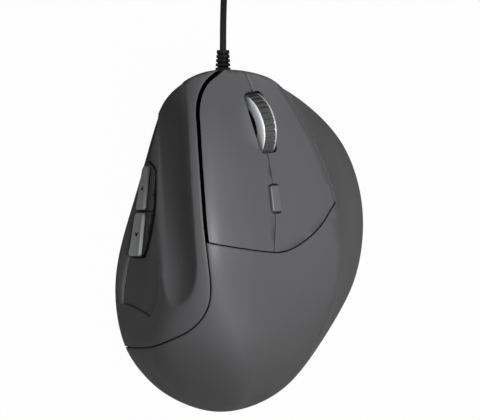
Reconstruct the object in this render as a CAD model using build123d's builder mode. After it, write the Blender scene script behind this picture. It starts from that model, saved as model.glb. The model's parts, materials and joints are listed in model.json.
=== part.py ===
from build123d import *

import math
import os

# A right-handed, slanted ergonomic mouse with a cord. +Y points forward, where the cord leaves,
# +X to the little-finger side and +Z up. The feet stand on z = 0. All sizes are millimetres.

# Sizes of the body
body_length = 115.2
body_width = 83.3
body_height = 59.6
# The tables below count from a point this far behind the middle of the body with its cord boot
middle_y = 2.53
foot_height = 0.6
wall = 2.0
base_edge_inset = 1.3
floor_thickness = 2.0
seam_gap = 0.4
groove_front = 1.5
groove_rear = 1.15
skirt_gap = 1.3

# Thumb trough: a long round-ended hollow in the left flank, above the thumb
trough_radius = 20.0
trough_end_radius = 41.0
trough_tip = 8.0

# Thumb panel and its two buttons
panel_inset = 0.8
panel_gap = 0.2
button_gap = 0.25
cap_height = 6.0
cap_proud = 1.1
cap_margin = 0.4
cap_corner = 1.2
button_corner = 2.5

# Slanted deck that carries the keys, the wheel and their switches
deck_tilt = 36.0
deck_pitch = 6.0
board_depth = 15.0
board_thickness = 1.6
chassis_thickness = 2.0
leg_side = 5.0
plate_corner = 1.0
plate_slot_gap = 1.0

# Scroll wheel
wheel_radius = 12.0
wheel_width = 6.0
wheel_proud = 4.3
wheel_turn = 9.5
tyre_thickness = 1.6
rib_count = 36
rib_depth = 0.4
rim_width = 0.9
rim_radial = 3.2
axle_radius = 1.0
running_gap = 0.05
rim_inset = 0.35
rib_space = 0.9
axle_end_gap = 1.0
wheel_side_gap = 0.7
wheel_slot_gap = 0.9
wheel_end_gap = 1.0
wheel_slot_corner = 2.0
encoder_size = (9.5, 8.5, 3.4)

# Sliding carrier of the wheel, its guides and the switch under it
carrier_arm = 1.8
carrier_front = 3.0
carrier_rear = -20.5
carrier_top = 4.1
arm_half = 2.5
arm_bend = -8.0
block_front = -13.8
block_height = 2.3
guide_gap = 0.1
guide_thickness = 1.5
guide_length = 3.0
guide_ahead = -8.5
guide_top = -7.0
wheel_tact_ahead = -17.4

# Key hinge
pin_radius = 1.0
lug_radius = 2.2
lug_width = 3.0
ear_width = 2.4

# Switches: key switches, tactile switches and what presses them
switch_length = 12.8
switch_width = 5.8
switch_height = 6.5
plunger_length = 2.8
plunger_width = 1.2
plunger_proud = 0.6
tact_side = 6.0
tact_height = 3.5
tact_plunger_radius = 1.6
dpi_plunger_height = 5.0
side_plunger_proud = 0.7
plunger_depth = 1.5
plunger_room = 0.9
plunger_play = 0.15
post_side = 2.6

# Button for the pointer speed, behind the wheel
dpi_length = 8.8
dpi_width = 3.8
dpi_proud = 0.9
dpi_gap = 0.6
dpi_turn = 3.6
dpi_skirt = 2.9
dpi_flange = 1.0
dpi_lip = 1.3
dpi_corner = 0.8
dpi_edge = 0.5
dpi_stem_radius = 1.8

# Boards, sensor and plugs inside
main_board_width = 14.0
main_board_length = 66.0
main_board_lift = 3.0
lens_radius = 3.0
lens_play = 0.2
lens_plate_width = 13.0
lens_plate_length = 16.0
lens_plate_height = 1.6
sensor_hole_width = 9.0
sensor_hole_length = 11.0
sensor_hole_corner = 2.0
chip_width = 9.0
chip_length = 10.5
chip_height = 2.6
lamp_radius = 1.5
lamp_length = 5.0
boss_radius = 2.4
peg_radius = 1.0
peg_proud = 1.0
socket_width = 5.4
socket_length = 6.0
socket_height = 5.0
socket_y = 32.0
slot_rib_width = 5.2
slot_rib_length = 5.0
slot_rib_height = 9.0
side_board_height = 24.0
side_board_length = 30.0

# Cord, strain relief, coil, tie and plug
cord_diameter = 2.2
cord_height = 9.7
relief_length = 7.1
relief_front_radius = 2.1
relief_base_radius = 2.6
relief_flange_radius = 4.0
relief_flange = 1.5
relief_flange_gap = 0.8
relief_ribs = 5
rib_groove = 0.45
arc_share = 0.45
coil_gap = 0.95
coil_y = 118.0
coil_sample_count = 36
coil_layers = 4
coil_turns_per_layer = 4
coil_mid_diameters = 12.0
tie_width = 6.0
tie_thickness = 0.8
tie_gap = 0.3
tie_rest = 0.02
tie_inner_corner = 0.6
plug_shell_width = 12.0
plug_shell_height = 4.5
plug_shell_length = 18.75
plug_body_width = 15.5
plug_body_height = 7.6
plug_body_length = 20.0
plug_sheet = 0.35
plug_corner = 1.8
plug_window = 2.4
plug_window_x = 8.0
plug_window_y = 2.6
tongue_height = 1.84
tongue_setback = 1.2
screw_radius = 1.1
screw_head_radius = 2.2
screw_head_height = 1.0
screw_length = 8.0
screw_play = 0.15
screw_drive_radius = 1.1
screw_drive_depth = 0.6
post_radius = 3.0
foot_corner_rest = 0.4

# Shape of the walls: for each point of the outline seen from above, its place at the foot, its place
# at the top, and how hollow the wall is between them (1 is straight, 3 is a deep flare).
wall_rows = [
    (-5.4, 56.6, -5.4, 56.3, 1),
    (4.0, 55.4, 3.3, 55.9, 1),
    (11.5, 52.4, 10.2, 53.9, 1),
    (18.5, 48.6, 14.0, 50.0, 2),
    (26.3, 42.4, 18.8, 42.0, 3),
    (34.0, 33.3, 24.2, 31.4, 3),
    (39.0, 22.5, 28.4, 20.0, 3),
    (41.6, 9.5, 31.2, 8.5, 3),
    (41.3, -3.5, 32.6, -3.5, 3),
    (38.3, -16.0, 31.8, -15.5, 3),
    (33.3, -26.2, 29.0, -25.5, 3),
    (25.5, -38.6, 23.5, -37.0, 2),
    (15.5, -50.3, 14.5, -48.5, 1),
    (4.5, -56.6, 4.0, -54.5, 1),
    (-7.1, -58.6, -7.0, -56.5, 1),
    (-20.0, -55.2, -19.0, -53.5, 1),
    (-30.6, -48.0, -29.5, -46.5, 1),
    (-37.8, -38.0, -36.5, -37.0, 1),
    (-41.2, -26.0, -40.0, -25.5, 1),
    (-41.7, -13.5, -40.0, -13.0, 1),
    (-39.7, -1.5, -37.5, -1.5, 1),
    (-36.1, 11.0, -34.5, 11.0, 1),
    (-32.3, 24.0, -31.2, 24.0, 1),
    (-29.0, 35.5, -28.6, 35.5, 1),
    (-24.8, 45.8, -25.2, 45.4, 1),
    (-16.0, 53.6, -16.8, 52.8, 1),
]
wall_widest_z = 5.0
wall_top_z = 45.0
wall_levels = [foot_height, wall_widest_z, 12.0, 20.0, 30.0, wall_top_z, 66.0]

# Shape of the top: cross sections from front to rear, each from the thumb side over the ridge and
# down the deck. Points: under the thumb, foot of the thumb wall, thumb edge, shoulder, ridge,
# middle of the deck, edge of the deck, beyond the flank.
top_rows = [
    (66, [(-36, -12), (-27, 10), (-24, 24), (-20, 33.5), (-15, 38), (0, 34.5), (9, 31), (40, 10)]),
    (54, [(-36, -10), (-28, 12), (-25.4, 30), (-20.5, 41.8), (-15.5, 46), (0, 40.2), (12, 34.3), (45, 12)]),
    (42, [(-36, -10), (-28, 12), (-26.6, 33), (-21, 46.6), (-15.5, 51.5), (2, 42.9), (19.6, 31.3), (50, 8)]),
    (28, [(-39, 2), (-31.3, 12), (-27, 36), (-20.9, 51), (-14.8, 56.3), (6, 44.6), (26.6, 29), (52, 9)]),
    (12, [(-45, 3), (-34.4, 12), (-26.9, 38), (-19.8, 53.5), (-13.5, 59.3), (9, 45), (31.5, 27.2), (54, 8)]),
    (-4, [(-50, 4), (-37.2, 12), (-26.3, 39), (-18.6, 53.8), (-12.2, 59.6), (10.5, 44.3), (33.2, 25.3), (54, 6)]),
    (-18, [(-52, 2), (-38.8, 13), (-27, 37), (-18.4, 51), (-11.2, 55.8), (10.5, 41.5), (32.3, 21.8), (50, 0)]),
    (-32, [(-46, -6), (-39.3, 10), (-31, 30), (-20.5, 43.5), (-10, 48.8), (10, 38.5), (28, 17), (42, -8)]),
    (-44, [(-38, -14), (-33.8, 6), (-28.5, 20), (-19.5, 31.8), (-8.5, 37.2), (6.5, 32), (18.5, 17), (28, -12)]),
    (-52, [(-33, -20), (-27.5, 1), (-22.5, 12.5), (-14.8, 21.6), (-6.8, 25.6), (4, 21.9), (12.5, 11), (21, -18)]),
    (-57, [(-29, -34), (-24, -10), (-19, 2.5), (-12.8, 11), (-6.4, 14.4), (1.5, 11.2), (8, 1.5), (15, -32)]),
    (-61, [(-28, -44), (-22.5, -20), (-17.5, -6), (-12, 1.5), (-6.2, 4), (1, 1.5), (6.5, -7), (13, -42)]),
]
typical_row = 4
below_z = -80.0

# Lines of the seams seen from above, front to rear or thumb side to little-finger side
groove_line = [
    (-4.4, 66.0), (-4.4, 57.5), (-5.6, 56.2), (-10.6, 51.7), (-12.7, 47.5), (-13.5, 43.0), (-13.3, 37.6),
    (-12.7, 28.4), (-11.5, 11.3), (-10.7, 1.8), (-10.3, -1.6), (-9.5, -9.4), (-9.1, -16.0), (-9.6, -20.3),
    (-11.1, -24.3), (-13.9, -28.0), (-17.6, -30.9), (-22.9, -33.5), (-28.8, -35.8), (-37.5, -36.6), (-52.0, -37.0),
]
groove_key_points = 10
rear_seam_line = [
    (-30.0, 4.0), (-10.2, -0.9), (-5.2, -1.9), (2.0, -3.1), (9.3, -4.1), (14.9, -4.1), (18.6, -2.7),
    (23.6, 0.8), (27.3, 4.5), (29.7, 8.2), (33.0, 14.0), (60.0, 40.0),
]
centre_seam_line = [
    (1.7, 66.0), (4.6, 56.0), (6.2, 51.5), (7.2, 47.1), (8.4, 39.1), (10.1, 28.0), (10.9, 22.6),
    (11.5, 18.3), (12.4, 8.1), (12.6, 1.2), (12.6, -8.0),
]
# Lower edge of the keys' skirts, seen from the side as distance along the mouse and height
skirt_line = [(66.0, 31.9), (-20.0, 19.2)]
# Thumb panel and its buttons, seen from the side
panel_line = [(39.5, 30.5), (28.0, 34.2), (12.0, 36.0), (-4.0, 36.8), (-16.0, 37.0), (-26.2, 34.6)]
panel_bottom_z = 12.0
panel_front_y = 40.5
panel_rear_y = -21.5
panel_leans = (0.0, 4.7)
panel_corner = 4.0
buttons_line = [(23.0, 33.0), (16.0, 32.2), (8.3, 30.0), (1.0, 26.0), (-5.6, 21.0)]
buttons_bottom_z = 13.6
buttons_front_y = 26.0
buttons_rear_y = -6.2
buttons_leans = (3.6, 0.0)
buttons_split_y = 9.2

# What lies where under the deck, as distances across, along and out of the deck
deck_spot = (7.0, 20.0, 45.6)
wheel_spot = (3.7, 18.1)
wheel_surface = -2.2
hinge_spot = (-18.0, -6.5)
hinge_pin_span = (-14.6, 16.2)
left_lugs = (-12.5, -2.5)
right_lugs = (8.0, 14.0)
hinge_ears = (-7.5, 3.4, 11.0)
left_switch_spot = (-11.0, 21.0)
right_switch_spot = (17.0, 15.0)
plunger_offset = 1.6
dpi_spot = (6.05, -6.5)
dpi_surface = -0.65
board_span = (-14.0, 20.5, -14.0, 26.0)
chassis_span = (-14.2, 21.5, -23.0, 26.5)

# What stands where on the floor, seen from above
leg_spots = [(-11.0, -1.0), (-11.0, 38.0), (9.0, -1.0), (9.0, 38.0)]
leg_screw_spots = [(-11.0, -1.0), (9.0, 38.0)]
left_post_spots = [(-30.0, -29.5), (-20.0, 45.0)]
palm_post_spots = [(18.0, -32.0), (27.0, 24.0)]
main_board_spot = (-1.25, 4.0)
sensor_spot = (-1.25, -5.0)
board_screw_spots = [(-1.25, -24.0), (-1.25, 24.0)]
side_board_x = -22.5
side_board_y = 11.0
side_switch_z = 19.0
forward_switch_y = 17.5
back_switch_y = 2.0
cord_x = -5.4
foot_spots = [
    ("foot_front", -3.0, 47.5, 22.0, 6.0, 0.0),
    ("foot_rear", -6.0, -50.0, 24.0, 6.5, 0.0),
    ("foot_left", -35.6, -9.5, 5.0, 15.0, -9.0),
    ("foot_right", 35.5, 3.0, 6.0, 20.0, 0.0),
]


def span(values):
    return max(values) - min(values)


scale_x = body_width / span([row[0] for row in wall_rows])
scale_y = body_length / span([row[1] for row in wall_rows])
scale_z = body_height / max(point[1] for row in top_rows for point in row[1])


def plan(points):
    """Points of the tables seen from above, at the size of this body."""
    return [(x * scale_x, y * scale_y) for x, y in points]


def side(points):
    """Points of the tables seen from the side, at the size of this body."""
    return [(y * scale_y, z * scale_z) for y, z in points]


def shifted(points, distance, closed=False):
    """Points moved to the left of their own direction, by one distance or by one each."""
    count = len(points)
    distances = distance if isinstance(distance, list) else [distance] * count
    moved = []
    for i, (x, y) in enumerate(points):
        before = points[i - 1] if closed or i else points[0]
        after = points[(i + 1) % count] if closed or i + 1 < count else points[-1]
        along_x = after[0] - before[0]
        along_y = after[1] - before[1]
        share = distances[i] / math.hypot(along_x, along_y)
        moved.append((x - along_y * share, y + along_x * share))
    return moved


def shares(points):
    """How far along their chain each of the points lies, from 0 to 1."""
    reached = [0.0]
    for a, b in zip(points, points[1:]):
        reached.append(reached[-1] + math.dist(a, b))
    return [value / reached[-1] for value in reached]


def outline_at(z, inset):
    """The closed outline of the walls at one height."""
    low = min(max((z - wall_widest_z) / (wall_top_z - wall_widest_z), 0.0), 1.0)
    ring = []
    for foot_x, foot_y, top_x, top_y, flare in wall_rows:
        part_left = (1 - low) ** flare
        ring.append((top_x + (foot_x - top_x) * part_left, top_y + (foot_y - top_y) * part_left))
    return shifted(plan(ring), -inset, closed=True)


def smooth_curve(points, knots, closed=False):
    """A curve through the points whose knots are the same for every section of a loft."""
    return Edge.make_spline([Vector(*point) for point in points], periodic=closed, parameters=knots)


def body_form(inset):
    """The whole body as one solid, everywhere smaller by the inset."""
    ring = outline_at(wall_widest_z, 0.0)
    ring_knots = shares(ring + ring[:1])
    with BuildPart() as walls:
        for z in wall_levels:
            edge_inset = inset + (base_edge_inset if z == foot_height else 0.0)
            with BuildSketch(Plane.XY.offset(z)):
                with BuildLine():
                    add(smooth_curve(outline_at(z, edge_inset), ring_knots, closed=True))
                make_face()
        loft()

    top_knots = shares(top_rows[typical_row][1])
    with BuildPart() as top:
        for y, row in top_rows:
            section = shifted([(x * scale_x, z * scale_z) for x, z in row], -inset)
            with BuildSketch(Plane.XZ.offset(-y * scale_y)):
                with BuildLine():
                    add(smooth_curve(section, top_knots))
                    Polyline(section[-1], (section[-1][0], below_z), (section[0][0], below_z), section[0])
                make_face()
        loft()

    front_centre = Vector(-37.1 * scale_x, 40.0 * scale_y, 51.0 * scale_z)
    rear_centre = Vector(-34.55 * scale_x, 0.0, 57.15 * scale_z)
    trough_axis = (front_centre - rear_centre).normalized()
    trough_start = rear_centre - trough_axis * trough_tip
    radial = trough_axis.cross(Vector(0, 0, 1)).normalized()
    radius = trough_radius + inset
    end_radius = trough_end_radius + inset
    end_centre = radius - end_radius
    tip_y = -math.sqrt(end_radius**2 - (trough_tip - end_centre) ** 2)
    arc_middle = math.radians(20)
    with BuildPart() as trough:
        with BuildSketch(Plane(origin=trough_start, x_dir=radial, z_dir=radial.cross(trough_axis))):
            with BuildLine():
                ThreePointArc(
                    (radius, 0),
                    (end_centre + end_radius * math.cos(arc_middle), -end_radius * math.sin(arc_middle)),
                    (trough_tip, tip_y),
                )
                Polyline((trough_tip, tip_y), (0, tip_y), (0, body_length), (radius, body_length), (radius, 0))
            make_face()
        revolve(axis=Axis(trough_start, trough_axis))

    with BuildPart() as form:
        add(walls.part)
        add(top.part, mode=Mode.INTERSECT)
        add(trough.part, mode=Mode.SUBTRACT)
    return form.part


def hollowed(outer, inner):
    """The shell between two forms, open at the foot, joined from their own faces."""
    outer_foot = outer.faces().sort_by(Axis.Z)[0]
    inner_foot = inner.faces().sort_by(Axis.Z)[0]
    rim = Face(outer_foot.outer_wire(), [inner_foot.outer_wire()])
    skins = [face for face in outer.faces() if face != outer_foot]
    skins += [face for face in inner.faces() if face != inner_foot]
    with BuildPart() as shell:
        add(Solid(Shell(skins + [rim])))
    return shell.part


outer_form = body_form(0.0)
inner_form = body_form(wall)
panel_form = body_form(panel_inset)
cap_form = body_form(-cap_proud)


def upright_block(curve, corners):
    """A tall block whose outline from above is a smooth curve closed by straight lines."""
    with BuildPart() as block:
        with BuildSketch(Plane.XY.offset(-body_height)):
            with BuildLine():
                Spline(*curve)
                Polyline(curve[-1], *corners, curve[0])
            make_face()
        extrude(amount=3 * body_height)
    return block.part


def side_block(curve, corners, both_sides=False):
    """A block across the mouse, from the thumb side to the middle or through, drawn from the side."""
    with BuildPart() as block:
        with BuildSketch(Plane.YZ.offset(-body_width)):
            with BuildLine():
                if len(curve) > 2:
                    Spline(*curve)
                else:
                    Line(*curve)
                Polyline(curve[-1], *corners, curve[0])
            make_face()
        extrude(amount=2 * body_width if both_sides else body_width)
    return block.part


# Deck plane: its origin lies on the surface, u runs across the deck, v to the front, n out of it
tilt = math.radians(deck_tilt)
pitch = math.radians(deck_pitch)
deck_across = Vector(math.cos(tilt), 0, -math.sin(tilt))
deck_normal = Vector(math.sin(tilt) * math.cos(pitch), math.sin(pitch), math.cos(tilt) * math.cos(pitch))
deck_origin = Vector(deck_spot[0] * scale_x, deck_spot[1] * scale_y, deck_spot[2] * scale_z)
deck = Plane(origin=deck_origin, x_dir=deck_across, z_dir=deck_normal)
deck_ahead = deck.y_dir


def on_deck(x, y):
    """Where a point seen from above lies on the deck plane, as across and along."""
    rise = -(deck_normal.X * (x - deck_origin.X) + deck_normal.Y * (y - deck_origin.Y)) / deck_normal.Z
    offset = Vector(x - deck_origin.X, y - deck_origin.Y, rise)
    return (offset.dot(deck_across), offset.dot(deck_ahead))


def deck_plane(u, v, w, turn=0.0):
    """The deck plane moved to a spot on it and turned about its normal."""
    origin = deck_origin + deck_across * u + deck_ahead * v + deck_normal * w
    angle = math.radians(turn)
    x_dir = deck_across * math.cos(angle) + deck_ahead * math.sin(angle)
    return Plane(origin=origin, x_dir=x_dir, z_dir=deck_normal)



def deck_side(u):
    """A plane across the deck at one place, drawn as along and out of the deck."""
    return Plane(origin=deck_plane(u, 0, 0).origin, x_dir=deck_ahead, z_dir=deck_across)


far = body_length
floor_top = foot_height + floor_thickness

# Heights out of the deck: the board, the switches on it and the wheel
board_top = -board_depth
board_bottom = board_top - board_thickness
plate_bottom = board_bottom - chassis_thickness
wheel_w = wheel_surface + wheel_proud - wheel_radius
switch_top = board_top + switch_height
plunger_top = switch_top + plunger_proud
tact_plunger_top = board_top + dpi_plunger_height
side_board_face = side_board_x
side_plunger_face = side_board_face - tact_height - side_plunger_proud

wheel_floor = deck_plane(*wheel_spot, 0, wheel_turn)


def in_wheel_frame(across, ahead, w):
    """The plane turned like the wheel at a spot counted from its centre."""
    origin = wheel_floor.origin + wheel_floor.x_dir * across + wheel_floor.y_dir * ahead + deck_normal * w
    return Plane(origin=origin, x_dir=wheel_floor.x_dir, z_dir=deck_normal)


def wheel_side(across):
    """The plane square to the axle at a distance from the wheel's middle, drawn as ahead and up."""
    origin = in_wheel_frame(across, 0, wheel_w).origin
    return Plane(origin=origin, x_dir=wheel_floor.y_dir, z_dir=wheel_floor.x_dir)


# What stands on the inside of the shell: screw posts, hinge lugs and posts over the switches. They
# are taken out of the hollow, so that they belong to the shell that is left around it.
with BuildPart() as hollow:
    add(inner_form)
    with BuildSketch(Plane.XY.offset(floor_top)):
        with Locations(*plan(left_post_spots + palm_post_spots)):
            Circle(post_radius)
    extrude(amount=body_height, mode=Mode.SUBTRACT)
    with BuildSketch(Plane.XY.offset(floor_top)):
        with Locations(*plan(left_post_spots + palm_post_spots)):
            Circle(screw_radius)
    extrude(amount=screw_length)
    for u in left_lugs + right_lugs:
        with BuildSketch(deck_side(u - lug_width / 2)):
            with Locations(hinge_spot):
                Circle(lug_radius)
                Rectangle(2 * lug_radius, board_depth, align=(Align.CENTER, Align.MIN))
                Circle(pin_radius + running_gap, mode=Mode.SUBTRACT)
        extrude(amount=lug_width, mode=Mode.SUBTRACT)
    for u, v in (left_switch_spot, right_switch_spot):
        with BuildSketch(deck_plane(u, v + plunger_offset, plunger_top)):
            Rectangle(post_side, post_side)
        extrude(amount=board_depth, mode=Mode.SUBTRACT)
    with BuildSketch(Plane.YZ.offset(side_plunger_face)):
        with Locations((forward_switch_y, side_switch_z), (back_switch_y, side_switch_z)):
            Rectangle(post_side, post_side)
    extrude(amount=-body_width, mode=Mode.SUBTRACT)

# Opening for the wheel: a short cylinder around it with rounded rims, which leaves round corners
with BuildPart() as wheel_opening:
    with BuildSketch(wheel_side(-wheel_width / 2 - wheel_slot_gap)):
        Circle(wheel_radius + wheel_end_gap)
    extrude(amount=wheel_width + 2 * wheel_slot_gap)
    fillet(wheel_opening.edges().filter_by(GeomType.CIRCLE), wheel_slot_corner)

neck_y = wall_rows[0][1] * scale_y
with BuildPart() as body:
    add(hollowed(outer_form, hollow.part))
    with BuildSketch(Plane(origin=(cord_x, far, cord_height), x_dir=(1, 0, 0), z_dir=(0, -1, 0))):
        Circle(relief_base_radius + running_gap)
    extrude(amount=far - neck_y + 2 * wall, mode=Mode.SUBTRACT)
    add(wheel_opening.part, mode=Mode.SUBTRACT)
    with BuildSketch(deck_plane(*dpi_spot, board_top, dpi_turn)):
        RectangleRounded(dpi_width + 2 * dpi_gap, dpi_length + 2 * dpi_gap, dpi_corner + dpi_gap)
    extrude(amount=2 * board_depth, mode=Mode.SUBTRACT)
body_shell = body.part

# Regions of the shell
groove = plan(groove_line)
groove_gaps = []
for i in range(len(groove)):
    key_share = min(i / groove_key_points, 1.0)
    rear_share = min(max(i - groove_key_points, 0) / 3, 1.0)
    gap = groove_front + (groove_rear - groove_front) * key_share
    groove_gaps.append(gap + (seam_gap - gap) * rear_share)
housing_edge = shifted(groove, [-gap / 2 for gap in groove_gaps])
cover_edge = shifted(housing_edge, seam_gap)
key_edge = shifted(groove, [gap / 2 for gap in groove_gaps])
rear_seam = plan(rear_seam_line)
key_rear_edge = shifted(rear_seam, seam_gap / 2)
cover_front_edge = shifted(rear_seam, -seam_gap / 2)
skirt = side(skirt_line)
cover_skirt = [(y, z - skirt_gap) for y, z in skirt]

housing_block = upright_block(housing_edge, [(-far, -far), (-far, far), (housing_edge[0][0], far)])
cover_block = upright_block(cover_edge, [(-far, -far), (far, -far), (far, far), (cover_edge[0][0], far)])
key_block = upright_block(key_edge, [(-far, -far), (far, -far), (far, far), (key_edge[0][0], far)])
key_front_block = upright_block(key_rear_edge, [(far, far), (-far, far)])
cover_front_block = upright_block(cover_front_edge, [(far, far), (-far, far)])
skirt_block = side_block(skirt, [(skirt[1][0], far), (skirt[0][0], far)], both_sides=True)
cover_skirt_block = side_block(cover_skirt, [(skirt[1][0], far), (skirt[0][0], far)], both_sides=True)


def levelled(low, high):
    """A wide slab between two heights."""
    with BuildPart() as slab:
        with BuildSketch(Plane.XY.offset(low)):
            Rectangle(2 * far, 2 * far)
        extrude(amount=high - low)
    return slab.part


def panel_side(points_top, bottom_z, front_y, rear_y, leans, grow, corner):
    """A block from the thumb side whose ends lean back, for the panel, its buttons or their holes."""
    front = front_y * scale_y + grow
    rear = rear_y * scale_y - grow
    curve = shifted(side(points_top), -grow)
    curve[0] = (front - leans[0], curve[0][1])
    curve[-1] = (rear - leans[1], curve[-1][1])
    low = bottom_z * scale_z - grow
    with BuildPart() as block:
        with BuildSketch(Plane.YZ.offset(-body_width)):
            with BuildLine():
                Spline(*curve)
                Polyline(curve[-1], (rear, low), (front, low), curve[0])
            outline = make_face()
            fillet(outline.vertices().sort_by(Axis.Z)[:2], corner)
        extrude(amount=body_width)
    return block.part


# Cover of the left, thumb side, with its hole for the panel and its inner posts
panel_block = panel_side(
    panel_line, panel_bottom_z, panel_front_y, panel_rear_y, panel_leans, 0.0, panel_corner
)
panel_hole = panel_side(
    panel_line, panel_bottom_z, panel_front_y, panel_rear_y, panel_leans, panel_gap, panel_corner
)
above_floor = levelled(floor_top, far)
with BuildPart() as left_housing:
    add(body_shell)
    add(housing_block, mode=Mode.INTERSECT)
    add(above_floor, mode=Mode.INTERSECT)
    add(panel_hole, mode=Mode.SUBTRACT)
left_housing.part.label = "left_housing"

# Cover of the palm and of the whole little-finger side, up to the keys
with BuildPart() as key_zone:
    add(cover_front_block)
    add(cover_skirt_block, mode=Mode.INTERSECT)
with BuildPart() as palm_cover:
    add(body_shell)
    add(key_zone.part, mode=Mode.SUBTRACT)
    add(cover_block, mode=Mode.INTERSECT)
    add(above_floor, mode=Mode.INTERSECT)
palm_cover.part.label = "palm_cover"

# Soft panel under the thumb, with the hole for its two buttons
buttons_hole = panel_side(
    buttons_line, buttons_bottom_z, buttons_front_y, buttons_rear_y, buttons_leans, button_gap, button_corner
)
panel_shell = hollowed(panel_form, inner_form)
with BuildPart() as thumb_panel:
    add(panel_shell)
    add(panel_block, mode=Mode.INTERSECT)
    add(buttons_hole, mode=Mode.SUBTRACT)
thumb_panel.part.label = "thumb_panel"

# Two thumb buttons, each with a post to its switch, and their light caps
buttons_block = panel_side(
    buttons_line, buttons_bottom_z, buttons_front_y, buttons_rear_y, buttons_leans, 0.0, button_corner
)
cap_shell = hollowed(cap_form, outer_form)
thumb_buttons = []
thumb_caps = []
split_y = buttons_split_y * scale_y
cap_share = (cap_height + 2 * cap_margin) / (buttons_line[0][1] - buttons_bottom_z)
for name, low_y, high_y, lean in (
    ("forward", split_y + button_gap / 2, buttons_front_y * scale_y, buttons_leans[0] * cap_share),
    ("back", buttons_rear_y * scale_y, split_y - button_gap / 2, buttons_leans[1]),
):
    with BuildPart() as thumb_button:
        add(body_shell)
        add(buttons_block, mode=Mode.INTERSECT)
        with BuildSketch(Plane.YZ.offset(-body_width)):
            with Locations(((low_y + high_y) / 2, 0)):
                Rectangle(high_y - low_y, 2 * body_height)
        extrude(amount=body_width, mode=Mode.INTERSECT)
    thumb_button.part.label = name + "_button"
    thumb_buttons.append(thumb_button.part)
    with BuildPart() as cap:
        add(cap_shell)
        with BuildSketch(Plane.YZ.offset(-body_width)):
            cap_z = buttons_bottom_z * scale_z + cap_margin + cap_height / 2
            with Locations(((low_y + high_y - lean) / 2, cap_z)):
                RectangleRounded(high_y - low_y - lean - 2 * cap_margin, cap_height, cap_corner)
        extrude(amount=body_width, mode=Mode.INTERSECT)
    cap.part.label = name + "_cap"
    thumb_caps.append(cap.part)

# The two keys, cut from one skin by the seam between them
centre_seam = [on_deck(x, y) for x, y in plan(centre_seam_line)]
seam_left = shifted(centre_seam, -seam_gap / 2)
seam_right = shifted(centre_seam, seam_gap / 2)[::-1]
with BuildPart() as seam_strip:
    with BuildSketch(deck_plane(0, 0, -2 * board_depth)):
        with BuildLine():
            Spline(*seam_left)
            Line(seam_left[-1], seam_right[0])
            Spline(*seam_right)
            Line(seam_right[-1], seam_left[0])
        make_face()
    extrude(amount=4 * board_depth)
with BuildPart() as key_pair:
    add(body_shell)
    add(skirt_block, mode=Mode.INTERSECT)
    add(key_front_block, mode=Mode.INTERSECT)
    add(key_block, mode=Mode.INTERSECT)
    add(seam_strip.part, mode=Mode.SUBTRACT)
key_skins = key_pair.solids().sort_by(Axis.X)
keys = []
for name, skin in (("left_button", key_skins[0]), ("right_button", key_skins[-1])):
    with BuildPart() as key:
        add(skin)
    key.part.label = name
    keys.append(key.part)

# Plate under the deck, on four legs, with ears for the key hinge and guides for the wheel's carrier
carrier_half = wheel_width / 2 + wheel_side_gap + carrier_arm
guide_inner = carrier_half + guide_gap
u_low, u_high, v_low, v_high = chassis_span
with BuildPart() as above_plate:
    with BuildSketch(deck_plane(0, 0, board_bottom - chassis_thickness / 2)):
        Rectangle(2 * far, 2 * far)
    extrude(amount=far)
with BuildPart() as chassis:
    with BuildSketch(Plane.XY.offset(floor_top)):
        with Locations(*leg_spots):
            Rectangle(leg_side, leg_side)
    extrude(amount=body_height)
    add(above_plate.part, mode=Mode.SUBTRACT)
    with BuildSketch(Plane.XY.offset(floor_top)):
        with Locations(*leg_screw_spots):
            Circle(screw_radius)
    extrude(amount=screw_length, mode=Mode.SUBTRACT)
    with BuildSketch(deck_plane((u_low + u_high) / 2, (v_low + v_high) / 2, plate_bottom)):
        RectangleRounded(u_high - u_low, v_high - v_low, plate_corner)
    extrude(amount=chassis_thickness)
    with BuildSketch(in_wheel_frame(0, -wheel_radius, plate_bottom - chassis_thickness)):
        Rectangle(wheel_width + 2 * plate_slot_gap, far, align=(Align.CENTER, Align.MIN))
    extrude(amount=3 * chassis_thickness, mode=Mode.SUBTRACT)
    for u in hinge_ears:
        with BuildSketch(deck_side(u - ear_width / 2)):
            with Locations(hinge_spot):
                Circle(lug_radius)
                Rectangle(
                    2 * lug_radius, hinge_spot[1] - board_bottom, align=(Align.CENTER, Align.MAX)
                )
                Circle(pin_radius, mode=Mode.SUBTRACT)
        extrude(amount=ear_width)
    for across in (-guide_inner - guide_thickness / 2, guide_inner + guide_thickness / 2):
        with BuildSketch(in_wheel_frame(across, guide_ahead, board_bottom)):
            Rectangle(guide_thickness, guide_length)
        extrude(amount=guide_top - board_bottom)
chassis.part.label = "chassis"

with BuildPart() as hinge_pin:
    with BuildSketch(deck_side(hinge_pin_span[0])):
        with Locations(hinge_spot):
            Circle(pin_radius)
    extrude(amount=hinge_pin_span[1] - hinge_pin_span[0])
hinge_pin.part.label = "hinge_pin"

# Board on the plate, with a slot for the wheel and holes for the carrier's guides
u_low, u_high, v_low, v_high = board_span
with BuildPart() as button_board:
    with BuildSketch(deck_plane((u_low + u_high) / 2, (v_low + v_high) / 2, board_bottom)):
        RectangleRounded(u_high - u_low, v_high - v_low, plate_corner)
    extrude(amount=board_thickness)
    with BuildSketch(in_wheel_frame(0, -wheel_radius - wheel_end_gap, board_bottom)):
        Rectangle(wheel_width + 2 * plate_slot_gap, far, align=(Align.CENTER, Align.MIN))
    extrude(amount=board_thickness, mode=Mode.SUBTRACT)
    for across in (-guide_inner - guide_thickness / 2, guide_inner + guide_thickness / 2):
        with BuildSketch(in_wheel_frame(across, guide_ahead, board_bottom)):
            Rectangle(guide_thickness + 2 * guide_gap, guide_length + 2 * guide_gap)
        extrude(amount=board_thickness, mode=Mode.SUBTRACT)
button_board.part.label = "button_board"

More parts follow.
